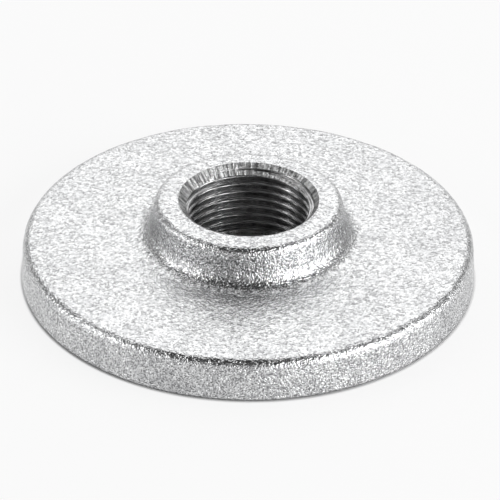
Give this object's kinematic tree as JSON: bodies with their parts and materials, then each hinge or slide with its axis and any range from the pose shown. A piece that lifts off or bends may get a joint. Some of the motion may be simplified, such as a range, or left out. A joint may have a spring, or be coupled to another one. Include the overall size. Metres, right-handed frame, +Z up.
{
  "type": "threaded base flange",
  "caption": "Round undrilled pipe flange in galvanised iron, with a raised central boss and an internal pipe thread right through, that stands a screwed tube upright on its flat base.",
  "frame": {"origin": "centre of the flat base face, on the bore axis", "axes": "+Z up the bore axis from the base face to the boss; X and Y are alike, because the flange is round"},
  "size_m": [0.115, 0.115, 0.0213],
  "materials": {
    "galvanised_iron": "hot-dip galvanised over a cast skin, pale zinc grey with a fine pebbled texture"
  },
  "bodies": {
    "root": {"base_flange": "galvanised_iron"}
  },
  "joints": []
}
